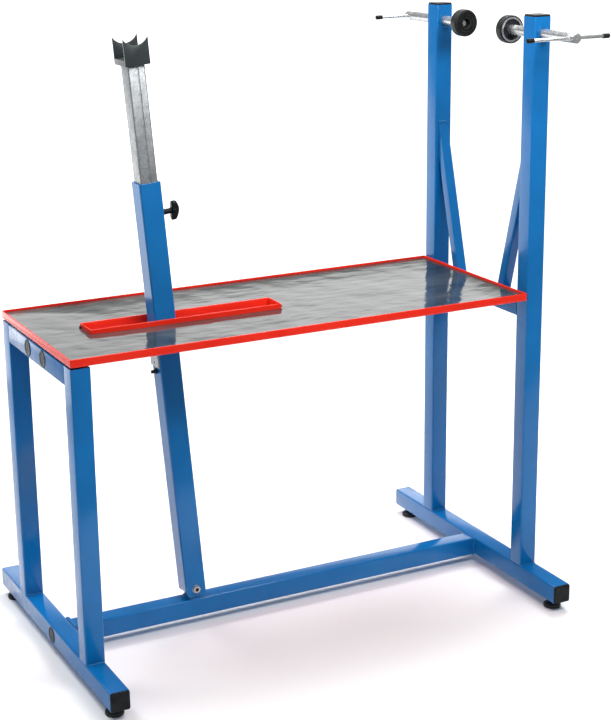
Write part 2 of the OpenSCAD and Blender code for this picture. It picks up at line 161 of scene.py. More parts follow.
def moulded(name, color, rough, bump=0.15, scale=900, gloss=0.35):
    m, nt, b = shader(name, color, rough, ior=1.33)
    v = coords(nt)
    b.inputs["Specular IOR Level"].default_value = gloss
    lift = tuple(min(1, c * 1.9 + 0.003) for c in color)
    nt.links.new(two_colors(nt, noise(nt, v, 30, 5), color, lift), b.inputs["Base Color"])
    nt.links.new(spread(nt, noise(nt, v, 120, 4), rough - 0.08, rough + 0.12), b.inputs["Roughness"])
    bumps(nt, b, (noise(nt, v, scale, 3), bump, 0.0003))
    return m


def board():
    m, nt, b = shader("plain_board", (0.55, 0.4, 0.24), 0.65)
    v = coords(nt, (0.15, 2, 2))
    nt.links.new(two_colors(nt, noise(nt, v, 60, 6), (0.36, 0.24, 0.13), (0.60, 0.45, 0.28)),
                 b.inputs["Base Color"])
    bumps(nt, b, (noise(nt, v, 300, 4), 0.3, 0.0004))
    return m


BLUE = powder_coat("blue_powder_coat", (0.0030, 0.128, 0.37), (0.0045, 0.148, 0.42), 0.13)
RED = powder_coat("red_powder_coat", (0.74, 0.018, 0.006), (0.84, 0.024, 0.009), 0.2)
GALV = galvanised()
MAT = tray_mat()
ZINC = cast_metal("bright_zinc_plate", (0.40, 0.41, 0.415), (0.50, 0.51, 0.515), 0.24, 45, bump=0.004,
                  metal=0.75)
BRASS = cast_metal("turned_brass", (0.5, 0.34, 0.12), (0.72, 0.53, 0.22), 0.25, 120)
OXIDE = moulded("black_oxide", (0.012, 0.012, 0.014), 0.34, 0.1, 500)
PLASTIC = moulded("black_plastic", (0.005, 0.006, 0.007), 0.3, gloss=0.22)
RUBBER = moulded("pad_rubber", (0.007, 0.008, 0.008), 0.4, 0.3, 600)
FOOT = moulded("foot_plastic", (0.014, 0.014, 0.016), 0.36)
DARK = powder_coat("charcoal_coat", (0.022, 0.030, 0.032), (0.036, 0.046, 0.048), 0.3)
BOARD = board()
SLOT_MAT = {"blue_powdercoat": BLUE, "red_powdercoat": RED, "tray_mat": MAT, "plywood": BOARD,
            "galvanised_steel": GALV, "zinc_plate": ZINC, "black_plastic": PLASTIC,
            "black_steel": OXIDE, "dark_coat": DARK, "pad_rubber": RUBBER, "brass_tip": BRASS}
for part in frame["record"]["subparts"]:
    for held in frame["nodes"][part["node"]].material_slots:
        held.material = SLOT_MAT[part["material_slot"]]


# ---------------------------------------------------------------- mesh tools
def ring(w, r, z, h=None, n=6):
    """Rounded rectangle w by h at height z, anticlockwise."""
    h = w if h is None else h
    pts = []
    for k, (sx, sy) in enumerate(((1, 1), (-1, 1), (-1, -1), (1, -1))):
        for i in range(n + 1):
            a = math.radians(90 * k + 90 * i / n)
            pts.append(Vector((sx * (w / 2 - r) + r * math.cos(a), sy * (h / 2 - r) + r * math.sin(a), z)))
    return pts


def circle(r, z, n=64):
    angles = [2 * math.pi * i / n for i in range(n)]
    return [Vector((r * math.cos(a), r * math.sin(a), z)) for a in angles]


def hexagon(af, z, n=48, round_r=None):
    """Hexagon of that width across flats, cut by a circle of round_r."""
    pts = []
    for i in range(n):
        a = 2 * math.pi * i / n
        r = af / 2 / math.cos((a + math.pi / 6) % (math.pi / 3) - math.pi / 6)
        if round_r:
            r = min(r, round_r)
        pts.append(Vector((r * math.cos(a), r * math.sin(a), z)))
    return pts


def loft(bm, rings, m=Matrix(), caps=(True, True), loop=False):
    rows = [[bm.verts.new(m @ p) for p in r] for r in rings]
    pairs = list(zip(rows, rows[1:])) + ([(rows[-1], rows[0])] if loop else [])
    for a, b in pairs:
        n = len(a)
        for i in range(n):
            bm.faces.new((a[i], a[(i + 1) % n], b[(i + 1) % n], b[i]))
    if not loop:
        if caps[0]:
            bm.faces.new(list(reversed(rows[0])))
        if caps[1]:
            bm.faces.new(rows[-1])


def piece(name, bm, mat, body, slot, *nodes, angle=32):
    bmesh.ops.remove_doubles(bm, verts=bm.verts, dist=1e-7)
    bmesh.ops.recalc_face_normals(bm, faces=bm.faces)
    me = bpy.data.meshes.new(name)
    bm.to_mesh(me)
    bm.free()
    me.materials.append(mat)
    me.shade_smooth()
    me.set_sharp_from_angle(angle=math.radians(angle))
    ob = bpy.data.objects.new(name, me)
    bpy.context.scene.collection.objects.link(ob)
    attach(ob, body)
    if nodes:
        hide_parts(*nodes)
    return ob


def at(x, y, z):
    return Matrix.Translation((x, y, z))


def turn(deg, axis):
    return Matrix.Rotation(math.radians(deg), 4, axis)


def tube(bm, w, wall, r, length, m):
    """Square tube rising along Z with eased ends."""
    c = 0.5 * MM
    ri = max(r - wall, 0.6 * MM)
    wi = w - 2 * wall
    rings = [ring(wi, ri, c), ring(wi + c, ri, 0), ring(w - 2 * c, r - c, 0), ring(w - 0.5 * c, r, 0.3 * c),
             ring(w, r, c), ring(w, r, length - c), ring(w - 0.5 * c, r, length - 0.3 * c),
             ring(w - 2 * c, r - c, length), ring(wi + c, ri, length), ring(wi, ri, length - c)]
    loft(bm, rings, m, loop=True)


TUBE_WALL, TUBE_R = 3 * MM, 4.2 * MM


def box_tube(node, axis):
    """Replaces a straight CAD tube by a clean one of the same size."""
    lo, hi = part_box(node)
    size = [hi[i] - lo[i] for i in range(3)]
    mid = [(hi[i] + lo[i]) / 2 for i in range(3)]
    bm = bmesh.new()
    if axis == "Z":
        m = at(mid[0], mid[1], lo[2])
        length, w = size[2], size[0]
    elif axis == "Y":
        m = at(mid[0], lo[1], mid[2]) @ turn(-90, "X")
        length, w = size[1], size[0]
    else:
        m = at(lo[0], mid[1], mid[2]) @ turn(90, "Y")
        length, w = size[0], size[2]
    tube(bm, w, TUBE_WALL, TUBE_R, length, m)
    piece(node + "_tube", bm, BLUE, "frame", "blue_powdercoat", node)


def bead(bm, a, b, size):
    """Ripple weld bead from a to b."""
    a, b = Vector(a), Vector(b)
    d = b - a
    length = d.length
    d.normalize()
    u = d.orthogonal().normalized()
    v = d.cross(u)
    steps = max(8, int(length / (0.9 * MM)))
    rows = []
    for i in range(steps + 1):
        t = i / steps
        s = t * length
        wob = 1 + 0.08 * math.sin(s * 310 + a.x * 90) + 0.05 * math.sin(s * 760 + a.y * 50)
        rip = 0.86 + 0.14 * abs(math.sin(math.pi * s / (2.9 * MM)))
        end = min(1.0, 0.35 + min(t, 1 - t) * length / (2.5 * MM))
        r = size * wob * rip * end
        c = a + d * s
        rows.append([c + (u * math.cos(k * math.pi / 4) + v * math.sin(k * math.pi / 4)) * r
                     for k in range(8)])
    loft(bm, rows)


def bead_square(bm, m, w, size, h=None, skip=()):
    """Weld round the foot of a w by h tube that stands on the XY plane of m."""
    h = w if h is None else h
    x, y = w / 2, h / 2
    sides = {"front": ((-x, -y), (x, -y)), "right": ((x, -y), (x, y)), "rear": ((x, y), (-x, y)),
             "left": ((-x, y), (-x, -y))}
    for k, (p, q) in sides.items():
        if k not in skip:
            bead(bm, m @ Vector((*p, 0)), m @ Vector((*q, 0)), size)


def bead_circle(bm, m, r, size):
    n, rows = 96, []
    for i in range(n):
        a = 2 * math.pi * i / n
        s = size * (0.88 + 0.12 * abs(math.sin(18 * a))) * (1 + 0.06 * math.sin(3 * a))
        c = Vector((r * math.cos(a), r * math.sin(a), 0))
        rad = c.normalized()
        rise = Vector((0, 0, 1))
        rows.append([m @ (c + (rad * math.cos(k * math.pi / 4) + rise * math.sin(k * math.pi / 4)) * s)
                     for k in range(8)])
    loft(bm, rows, loop=True)


def lathe(bm, profile, m, n=72):
    """Closed body of revolution from (radius, height) points."""
    loft(bm, [circle(max(r, 1e-5), z, n) for r, z in profile], m)


def middle(node):
    lo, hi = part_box(node)
    return Vector([(lo[i] + hi[i]) / 2 for i in range(3)])


# ---------------------------------------------------------------- frame tubes
for node, axis in (("left_foot_beam", "Y"), ("right_foot_beam", "Y"), ("left_front_leg", "Z"),
                   ("left_rear_leg", "Z"), ("left_cross_tube", "Y"), ("right_cross_tube", "Y"),
                   ("front_upright", "Z"), ("rear_upright", "Z"), ("long_beam", "X")):
    box_tube(node, axis)

# rails: two tubes in one node
lo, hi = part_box("rails")
bm = bmesh.new()
rail_w = hi[2] - lo[2]
for y in (lo[1] + rail_w / 2, hi[1] - rail_w / 2):
    tube(bm, rail_w, TUBE_WALL, 4 * MM, hi[0] - lo[0], at(lo[0], y, (lo[2] + hi[2]) / 2) @ turn(90, "Y"))
piece("tray_rails", bm, BLUE, "frame", "blue_powdercoat", "rails")

# braces, cut to the upright and the cross tube
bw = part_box("front_brace")[1][0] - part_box("front_brace")[0][0]
for node, s in (("front_brace", -1), ("rear_brace", 1)):
    lo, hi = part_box(node)
    y_in, y_out = (hi[1], lo[1]) if s < 0 else (lo[1], hi[1])
    z0, z1 = lo[2], hi[2]
    slope = math.atan2(abs(y_out - y_in), z1 - z0)
    bm = bmesh.new()
    for e in (0, 2 * MM):
        w2, r = bw / 2 - e, max(3 * MM - e, 0.8 * MM)
        base, head = [], []
        for p in ring(2 * w2, r, 0, n=5):
            # q runs from the inner face (0) to the outer face (bw), square to the brace
            q = bw / 2 + p.y
            y0 = y_in + s * q / math.cos(slope)
            base.append(Vector((middle(node).x + p.x, y0, z0)))
            z_top = z1 - q / math.sin(slope)
            head.append(Vector((middle(node).x + p.x, y_out, z_top)))
        loft(bm, [base, head], caps=(False, False))
    piece(node + "_tube", bm, BLUE, "frame", "blue_powdercoat", node)

# ---------------------------------------------------------------- welds
bm = bmesh.new()
S = 3.4 * MM
for node in ("left_front_leg", "left_rear_leg", "front_upright", "rear_upright"):
    lo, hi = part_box(node)
    c = middle(node)
    bead_square(bm, at(c.x, c.y, lo[2]), hi[0] - lo[0] - 2 * MM, S, skip=("left", "right"))
for node in ("left_cross_tube", "right_cross_tube"):
    lo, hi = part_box(node)
    c = middle(node)
    w = hi[0] - lo[0] - 3 * MM
    for y in (lo[1], hi[1]):
        bead_square(bm, at(c.x, y, c.z) @ turn(90, "X"), w, S, skip=("left", "right"))
lo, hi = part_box("long_beam")
c = middle("long_beam")
bead_square(bm, at(hi[0], c.y, c.z) @ turn(90, "Y"), hi[2] - lo[2] - 2 * MM, S)
bead_square(bm, at(lo[0], c.y, c.z) @ turn(90, "Y"), hi[2] - lo[2] - 1 * MM, S * 0.8)
for node, s in (("front_brace", -1), ("rear_brace", 1)):
    lo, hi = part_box(node)
    cx = middle(node).x
    y_up = lo[1] if s < 0 else hi[1]
    y_in = hi[1] if s < 0 else lo[1]
    run, rise = hi[1] - lo[1], hi[2] - lo[2]
    slope = math.atan2(run, rise)
    z_low = hi[2] - bw / math.sin(slope)
    y_low = y_in + s * bw / math.cos(slope)
    h = bw / 2
    bead(bm, (cx - h, y_up, hi[2]), (cx + h, y_up, hi[2]), S * 1.1)
    bead(bm, (cx - h, y_up, z_low + 3 * MM), (cx + h, y_up, z_low + 3 * MM), S)
    for e in (-h, h):
        bead(bm, (cx + e, y_up, z_low + 4 * MM), (cx + e, y_up, hi[2]), S * 0.8)
        bead(bm, (cx + e, y_in, lo[2]), (cx + e, y_low, lo[2]), S * 0.8)
    bead(bm, (cx - h, y_in, lo[2]), (cx + h, y_in, lo[2]), S)
    bead(bm, (cx - h, y_low, lo[2]), (cx + h, y_low, lo[2]), S)
lo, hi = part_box("pivot_block")
c = middle("pivot_block")
bead_square(bm, at(c.x, c.y, lo[2]), hi[0] - lo[0] + 1 * MM, S, h=hi[1] - lo[1] + 1 * MM)
bush_lo, bush_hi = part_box("spindle_bushes")
bush_r = (bush_hi[2] - bush_lo[2]) / 2
spin = middle("spindle_bushes")
for node in ("front_upright", "rear_upright"):
    lo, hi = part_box(node)
    for y in (lo[1], hi[1]):
        bead_circle(bm, at(spin.x, y, spin.z) @ turn(90, "X"), bush_r - 0.5 * MM, 2.0 * MM)
piece("frame_welds", bm, BLUE, "frame", "blue_powdercoat", angle=80)

# ---------------------------------------------------------------- bushes
bm = bmesh.new()
rod_r = (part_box("front_spindle")[1][2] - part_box("front_spindle")[0][2]) / 2
for node, s in (("front_upright", -1), ("rear_upright", 1)):
    lo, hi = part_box(node)
    over = (bush_hi[1] - hi[1]) if s > 0 else (lo[1] - bush_lo[1])
    a, b = lo[1] - over, hi[1] + over
    r0, r1 = rod_r + 0.1 * MM, bush_r - 1.5 * MM
    prof = [(r0, 0.6 * MM), (r0 + 0.6 * MM, 0), (r1 - 1.2 * MM, 0), (r1, 1.2 * MM), (r1, b - a - 1.2 * MM),
            (r1 - 1.2 * MM, b - a), (r0 + 0.6 * MM, b - a), (r0, b - a - 0.6 * MM)]
    loft(bm, [circle(r, z) for r, z in prof], at(spin.x, a, spin.z) @ turn(-90, "X"), loop=True)
piece("painted_bushes", bm, BLUE, "frame", "zinc_plate", "spindle_bushes")


# ---------------------------------------------------------------- plastic caps and plugs
def tube_end_cap(bm, w, t, m):
    loft(bm, [ring(w - 6 * MM, 1 * MM, -10 * MM), ring(w - 6 * MM, 1 * MM, 0), ring(w, 5 * MM, 0),
              ring(w, 5 * MM, t * 0.45), ring(w - 0.6 * MM, 4.8 * MM, t * 0.68),
              ring(w - 2 * MM, 4.2 * MM, t * 0.88),
              ring(w - 5 * MM, 3.4 * MM, t * 0.97), ring(w - 12 * MM, 3 * MM, t)], m)


lo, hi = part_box("foot_beam_caps")
bm = bmesh.new()
for node in ("left_foot_beam", "right_foot_beam"):
    c = middle(node)
    b_lo, b_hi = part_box(node)
    t = hi[1] - b_hi[1]
    w = b_hi[2] - b_lo[2] - 1 * MM
    tube_end_cap(bm, w, t, at(c.x, b_lo[1], c.z) @ turn(90, "X"))
    tube_end_cap(bm, w, t, at(c.x, b_hi[1], c.z) @ turn(-90, "X"))
piece("foot_beam_end_caps", bm, PLASTIC, "frame", "black_plastic", "foot_beam_caps", angle=40)
bm = bmesh.new()
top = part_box("upright_caps")[1][2]
for node in ("front_upright", "rear_upright"):
    c = middle(node)
    u_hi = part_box(node)[1]
    tube_end_cap(bm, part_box(node)[1][0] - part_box(node)[0][0] - 1 * MM, top - u_hi[2], at(c.x, c.y, u_hi[2]))
piece("upright_end_caps", bm, PLASTIC, "frame", "black_plastic", "upright_caps", angle=40)
bm = bmesh.new()
for node in ("left_front_leg", "left_rear_leg"):
    c = middle(node)
    l_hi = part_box(node)[1]
    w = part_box(node)[1][0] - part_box(node)[0][0]
    loft(bm, [ring(w - 6 * MM, 1 * MM, -9 * MM), ring(w - 6 * MM, 1 * MM, -1.8 * MM),
              ring(w - 8 * MM, 1 * MM, -1 * MM),
              ring(w - 16 * MM, 3 * MM, -1.3 * MM)], at(c.x, c.y, l_hi[2]))
piece("leg_end_caps", bm, PLASTIC, "frame", "black_plastic", "leg_caps")

bm = bmesh.new()
lo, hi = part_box("access_plugs")
x_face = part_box("left_foot_beam")[0][0]
proud = x_face - lo[0]
plug_y = 56.5 * MM  # half the pitch of the upper two
plug_r = (hi[1] - lo[1]) / 2 - plug_y
for y, z in ((lo[1] + plug_r, hi[2] - plug_r), (hi[1] - plug_r, hi[2] - plug_r), (0.0, lo[2] + plug_r)):
    prof = [(plug_r - 1.5 * MM, -8 * MM), (plug_r - 1.5 * MM, 0), (plug_r, 0), (plug_r, proud * 0.3),
            (plug_r - 0.7 * MM, proud * 0.8), (plug_r - 2.2 * MM, proud), (plug_r - 4.0 * MM, proud * 0.95),
            (plug_r - 5.0 * MM, proud * 0.55), (plug_r * 0.5, proud * 0.7), (0, proud * 0.75)]
    lathe(bm, prof, at(x_face, y, z) @ turn(-90, "Y"))
piece("hole_plugs", bm, PLASTIC, "frame", "black_plastic", "access_plugs", angle=50)

# ---------------------------------------------------------------- tray
t_lo, t_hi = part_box("tray")
l_lo, l_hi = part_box("tray_liner")
k_lo, k_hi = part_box("slot_collar")
cx, cy = (t_lo[0] + t_hi[0]) / 2, (t_lo[1] + t_hi[1]) / 2
L, W = t_hi[0] - t_lo[0], t_hi[1] - t_lo[1]
th = 2 * MM
# inset and drop, in millimetres, down the rounded top edge that the rim and the collar share
ROUNDED = ((0, 1.6), (0.12, 1.0), (0.45, 0.45), (0.9, 0.12), (1.4, 0), (1.9, 0.12), (2.35, 0.45),
           (2.7, 1.2))


def rim_ring(inset, z, r):
    return ring(L - 2 * inset, max(r - inset, 0.5 * MM), z, h=W - 2 * inset, n=5)


bm = bmesh.new()
z0, z1 = t_lo[2], t_hi[2]
R = 2.6 * MM
rows = [ring(L - 60 * MM, 10 * MM, z0, h=W - 60 * MM, n=5), rim_ring(1.5 * MM, z0, R),
        rim_ring(0.4 * MM, z0 + 0.4 * MM, R), rim_ring(0, z0 + 1.5 * MM, R)]
rows += [rim_ring(inset * MM, z1 - drop * MM, R) for inset, drop in ROUNDED]
rows += [rim_ring(2.7 * MM, z1 - 8 * MM, R), rim_ring(th, l_lo[2], R)]
loft(bm, rows, at(cx, cy, 0), caps=(False, False))
# underside, round the slot
sx0, sx1, sy0, sy1 = k_lo[0], k_hi[0], k_lo[1], k_hi[1]
for x0, x1, y0, y1 in ((t_lo[0] + 2 * MM, sx0, t_lo[1] + 2 * MM, t_hi[1] - 2 * MM),
                       (sx1, t_hi[0] - 2 * MM, t_lo[1] + 2 * MM, t_hi[1] - 2 * MM),
                       (sx0, sx1, t_lo[1] + 2 * MM, sy0), (sx0, sx1, sy1, t_hi[1] - 2 * MM)):
    loft(bm, [ring(x1 - x0, 0.01 * MM, z0 + 0.1 * MM, h=y1 - y0, n=1),
              ring(x1 - x0, 0.01 * MM, z0 + th, h=y1 - y0, n=1)],
         at((x0 + x1) / 2, (y0 + y1) / 2, 0))
piece("tray_pan", bm, RED, "frame", "red_powdercoat", "tray", angle=40)

# the mat, gently buckled
bm = bmesh.new()
nx, ny = 126, 52
x0, x1, y0, y1 = l_lo[0], l_hi[0], l_lo[1], l_hi[1]
xs = sorted(set([x0 + (x1 - x0) * i / nx for i in range(nx + 1)] + [sx0, sx1]))
ys = sorted(set([y0 + (y1 - y0) * i / ny for i in range(ny + 1)] + [sy0, sy1]))
grid = {}
for i, x in enumerate(xs):
    for j, y in enumerate(ys):
        edge = min(1.0, (x - x0) / 0.04, (x1 - x) / 0.04, (y - y0) / 0.04, (y1 - y) / 0.04)
        wave = (math.sin(x * 31 + 2.2 * math.sin(y * 9)) + math.sin(y * 44 + 1.7 * math.sin(x * 7 + 1)) +
                0.6 * math.sin(x * 73 + y * 21))
        # the edges curl up a little against the rear rim and the two ends
        curl = max(1 - min((x - x0) / 0.30, (x1 - x) / 0.09, (y1 - y) / 0.15), 0) ** 2
        z = l_hi[2] - 0.25 * MM + 0.17 * MM * wave * max(edge, 0) + 6.0 * MM * curl
        grid[i, j] = bm.verts.new((x, y, z))
for i in range(len(xs) - 1):
    for j in range(len(ys) - 1):
        mx, my = (xs[i] + xs[i + 1]) / 2, (ys[j] + ys[j + 1]) / 2
        if not (sx0 < mx < sx1 and sy0 < my < sy1):
            bm.faces.new((grid[i, j], grid[i + 1, j], grid[i + 1, j + 1], grid[i, j + 1]))
piece("tray_mat", bm, MAT, "frame", "tray_mat", "tray_liner", angle=60)

# folded collar round the slot
kl, kw = k_hi[0] - k_lo[0], k_hi[1] - k_lo[1]
kx, ky = (k_lo[0] + k_hi[0]) / 2, (k_lo[1] + k_hi[1]) / 2


def collar_ring(inset, z):
    return ring(kl - 2 * inset, max(2.2 * MM - inset, 0.4 * MM), z, h=kw - 2 * inset, n=5)


bm = bmesh.new()
ct = 2.7 * MM
loft(bm, [collar_ring(ct, k_lo[2]), collar_ring(0, k_lo[2])] +
     [collar_ring(inset * MM, k_hi[2] - drop * MM) for inset, drop in ROUNDED], at(kx, ky, 0), loop=True)
piece("slot_frame", bm, RED, "frame", "red_powdercoat", "slot_collar", angle=40)


def socket_head(bm, r, h, af, depth, m, n=48):
    """Cap screw head with a hexagon socket, standing along Z."""
    c = 0.12 * r
    loft(bm, [circle(r, 0, n), circle(r, h - c, n), circle(r - 0.4 * c, h - 0.3 * c, n),
              circle(r - c, h, n),
              hexagon(af, h, n), hexagon(af, h - depth, n), circle(0.3 * MM, h - depth - 0.6 * MM, n)], m)


bm = bmesh.new()
c_lo, c_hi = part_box("collar_screws")
cs_z = (c_lo[2] + c_hi[2]) / 2
cs_r = (c_hi[2] - c_lo[2]) / 2
socket_head(bm, cs_r, sx0 - c_lo[0], 2.5 * MM, 2 * MM, at(sx0, c_hi[1] - cs_r, cs_z) @ turn(-90, "Y"))
socket_head(bm, cs_r, c_hi[0] - sx1, 2.5 * MM, 2 * MM, at(sx1, c_lo[1] + cs_r, cs_z) @ turn(90, "Y"))
piece("collar_screw_heads", bm, OXIDE, "frame", "black_steel", "collar_screws")

# ---------------------------------------------------------------- post and mast
pivot = Vector(joints["post_tilt"]["pos_m"])
up = Vector(joints["mast_slide"]["axis"])
lean = math.degrees(math.atan2(-up.x, up.z))
POST = at(*pivot) @ turn(-lean, "Y")
inv = POST.inverted()


def local_z(node, hi=True):
    """Highest or lowest point of a node along the post."""
    vals = [(inv @ v.co).z for v in frame["nodes"][node].data.vertices]
    return max(vals) if hi else min(vals)


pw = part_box("post_tube")[1][1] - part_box("post_tube")[0][1]
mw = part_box("mast_tube")[1][1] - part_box("mast_tube")[0][1]
post_top = local_z("post_tube")
post_low = local_z("post_tube", False)
bm = bmesh.new()
c = 0.5 * MM
wall = 5 * MM
r = 5 * MM
wi = pw - 2 * wall


def foot_cut(pts, z_low, r_cut):
    """Bottom ring, rounded in side view about the pivot."""
    out = []
    for p in pts:
        z = -math.sqrt(max(r_cut ** 2 - p.x ** 2, 0)) if abs(p.x) < r_cut else 0
        out.append(Vector((p.x, p.y, max(z_low, z))))
    return out


def dense_ring(w, rr, z, n=6, side=14):
    pts = ring(w, rr, z, n=n)
    out = []
    for i, p in enumerate(pts):
        q = pts[(i + 1) % len(pts)]
        out.append(p)
        if (q - p).length > w / 3:
            out += [p.lerp(q, k / side) for k in range(1, side)]
    return out


outer = dense_ring(pw, r, 0)
inner = dense_ring(wi, 1 * MM, 0)
rows = [foot_cut(inner, post_low + c, 27 * MM), foot_cut(outer, post_low, pw / 2),
        [Vector((p.x, p.y, 0.03)) for p in outer],
        [Vector((p.x, p.y, post_top - c)) for p in outer],
        [Vector((p.x * (1 - c / pw), p.y * (1 - c / pw), post_top)) for p in outer]]
loft(bm, rows, POST, caps=(False, False))
loft(bm, [[Vector((p.x, p.y, 0.03)) for p in inner], foot_cut(inner, post_low + c, 27 * MM)], POST,
     caps=(False, False))
loft(bm, [[Vector((p.x, p.y, post_top)) for p in inner], [Vector((p.x, p.y, 0.03)) for p in inner]], POST,
     caps=(False, False))
piece("post_outer", bm, BLUE, "post", "blue_powdercoat", "post_tube")
# the coated top edge
bm = bmesh.new()
sc1, sc2 = 1 - 0.8 * MM / pw, 1 + 0.4 * MM / wi
loft(bm, [[Vector((p.x * sc2, p.y * sc2, post_top - 0.3 * MM)) for p in ring(wi, 1 * MM, 0)],
          [Vector((p.x * sc2, p.y * sc2, post_top + 0.12 * MM)) for p in ring(wi, 1 * MM, 0)],
          [Vector((p.x * sc1, p.y * sc1, post_top + 0.12 * MM)) for p in ring(pw, r, 0)],
          [Vector((p.x * sc1, p.y * sc1, post_top - 0.3 * MM)) for p in ring(pw, r, 0)]], POST, loop=True)
piece("post_cut_edge", bm, BLUE, "post", "blue_powdercoat")

# mast with its rolled seam
m_top, m_low = local_z("mast_top_plate"), local_z("mast_tube", False)
groove_x, groove_w, groove_d = 3.3 * MM, 1.7 * MM, 1.6 * MM


def seam_ring(w, rr, z, groove=True):
    pts = ring(w, rr, z, n=7)
    out = []
    for i, p in enumerate(pts):
        q = pts[(i + 1) % len(pts)]
        out.append(Vector(p))
        if abs(p.y + w / 2) < 1e-6 and abs(q.y + w / 2) < 1e-6 and (q - p).length > w / 3:
            g = groove_d if groove else 0
            for gx, gy in ((-1.2, 0), (-0.5, 0.9), (0, 1), (0.5, 0.9), (1.2, 0)):
                out.append(Vector((groove_x + gx * groove_w, -w / 2 + gy * g, z)))
    return out


bm = bmesh.new()
rows = [seam_ring(mw - 6 * MM, 1 * MM, m_low, False), seam_ring(mw - c, 4.5 * MM, m_low),
        seam_ring(mw, 4.5 * MM, m_low + c),
        seam_ring(mw, 4.5 * MM, m_top - c), seam_ring(mw - c, 4.5 * MM, m_top)]
loft(bm, rows, POST, caps=(True, True))
piece("mast_outer", bm, GALV, "mast", "galvanised_steel", "mast_tube", "mast_top_plate")

# saddle: two plates with concave tops on a thick web
verts = [inv @ v.co for v in frame["nodes"]["saddle"].data.vertices]
s_x0, s_x1 = min(v.x for v in verts), max(v.x for v in verts)
s_y0, s_y1 = min(v.y for v in verts), max(v.y for v in verts)
s_z0, s_z1 = min(v.z for v in verts), max(v.z for v in verts)
s_mid = (s_x0 + s_x1) / 2
sr, dip = 37.5 * MM, 17.5 * MM
plate_t = 5 * MM
arc_z = s_z1 - dip + sr


def plate_outline(inset):
    w = (s_x1 - s_x0) / 2 - inset
    rr = sr + inset
    half = min(math.acos((sr - dip + inset) / rr), math.asin(w / rr))
    tip = min(s_z1 - inset, arc_z - rr * math.cos(half))
    pts = [Vector((s_mid + sx * w, 0, z)) for sx, z in ((-1, s_z0 + inset), (1, s_z0 + inset), (1, tip))]
    for i in range(41):
        a = half - 2 * half * i / 40
        pts.append(Vector((s_mid + rr * math.sin(a), 0, arc_z - rr * math.cos(a))))
    pts.append(Vector((s_mid - w, 0, tip)))
    return pts


bm = bmesh.new()
e = 0.7 * MM
for y0, y1 in ((s_y0, s_y0 + plate_t), (s_y1 - plate_t, s_y1)):
    rows = []
    for y, ins in ((y0, e), (y0 + e * 0.3, e * 0.3), (y0 + e, 0), (y1 - e, 0), (y1 - e * 0.3, e * 0.3),
                   (y1, e)):
        rows.append([Vector((p.x, y, p.z)) for p in plate_outline(ins)])
    loft(bm, rows, POST)
web = 15 * MM
wx, wy = s_x1 - s_x0, s_y1 - s_y0 - 2 * plate_t + 2 * MM
loft(bm, [ring(wx - 1.4 * MM, 0.6 * MM, s_z0, h=wy), ring(wx, 0.8 * MM, s_z0 + 0.7 * MM, h=wy),
          ring(wx, 0.8 * MM, s_z0 + web - 0.7 * MM, h=wy), ring(wx - 1.4 * MM, 0.6 * MM, s_z0 + web, h=wy)],
     POST @ at(s_mid, 0, 0))
piece("saddle_bracket", bm, DARK, "mast", "dark_coat", "saddle", angle=28)
bm = bmesh.new()
bead_square(bm, POST @ at(0, 0, s_z0), mw - 1 * MM, 2.2 * MM)
piece("saddle_weld", bm, DARK, "mast", "dark_coat", angle=80)

# pivot bolt with washer, and the nut behind
bm = bmesh.new()
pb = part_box("pivot_bolt")
head = -pw / 2 - (inv @ Vector((pivot.x, pb[0][1], pivot.z))).y
lathe(bm, [(6 * MM, -0.2 * MM), (11 * MM, 0), (11 * MM, 0.9 * MM), (10.6 * MM, 1.2 * MM),
           (8 * MM, 1.2 * MM)],
      POST @ at(0, -pw / 2, 0) @ turn(90, "X"))
socket_head(bm, 9.9 * MM, head, 10 * MM, 5 * MM, POST @ at(0, -pw / 2, 0) @ turn(90, "X"))
lathe(bm, [(5.9 * MM, 0), (5.9 * MM, pw + 13 * MM), (5.2 * MM, pw + 14 * MM)],
      POST @ at(0, -pw / 2, 0) @ turn(-90, "X"))
piece("pivot_screw", bm, ZINC, "post", "zinc_plate", "pivot_bolt")


def nut(bm, af, h, m, bore):
    rr = af / 2 / math.cos(math.pi / 6)
    loft(bm, [circle(bore, 0, 48), hexagon(af, 0, round_r=af / 2 * 1.02),
              hexagon(af, 0.08 * h, round_r=rr * 0.965),
              hexagon(af, 0.14 * h), hexagon(af, 0.86 * h), hexagon(af, 0.92 * h, round_r=rr * 0.965),
              hexagon(af, h, round_r=af / 2 * 1.02), circle(bore + 0.6 * MM, h, 48),
              circle(bore, h - 0.6 * MM, 48)],
         m, loop=True)


# a dark hexagon plug filling the screw's socket: painted shade in its recess
bm = bmesh.new()
loft(bm, [hexagon(9.9 * MM, 0.5 * MM), hexagon(9.9 * MM, head - 1.1 * MM),
          hexagon(8.6 * MM, head - 1.2 * MM),
          hexagon(7.4 * MM, head - 3.6 * MM), circle(0.4 * MM, head - 4 * MM, 48)],
     POST @ at(0, -pw / 2, 0) @ turn(90, "X"), caps=(True, True))
piece("pivot_socket_painted_shade", bm, OXIDE, "post", "black_steel")
bm = bmesh.new()
loft(bm, [circle(6 * MM, 0), circle(12 * MM, 0), circle(12 * MM, 1.7 * MM), circle(11.7 * MM, 2 * MM),
          circle(6 * MM, 2 * MM)],
     POST @ at(0, pw / 2, 0) @ turn(-90, "X"), loop=True)
nut(bm, 19 * MM, 9 * MM, POST @ at(0, pw / 2 + 2 * MM, 0) @ turn(-90, "X"), 5.95 * MM)
piece("pivot_lock_nut", bm, ZINC, "post", "zinc_plate", "pivot_nut")

# wing knob
knob = frame["nodes"]["wing_knob"]
kv = [inv @ v.co for v in knob.data.vertices]
kz = (max(v.z for v in kv) + min(v.z for v in kv)) / 2
x_in, x_out = min(v.x for v in kv), max(v.x for v in kv)
boss_out = max((inv @ v.co).x for v in frame["nodes"]["knob_boss"].data.vertices)
KNOB = POST @ at(0, 0, kz) @ turn(90, "Y")


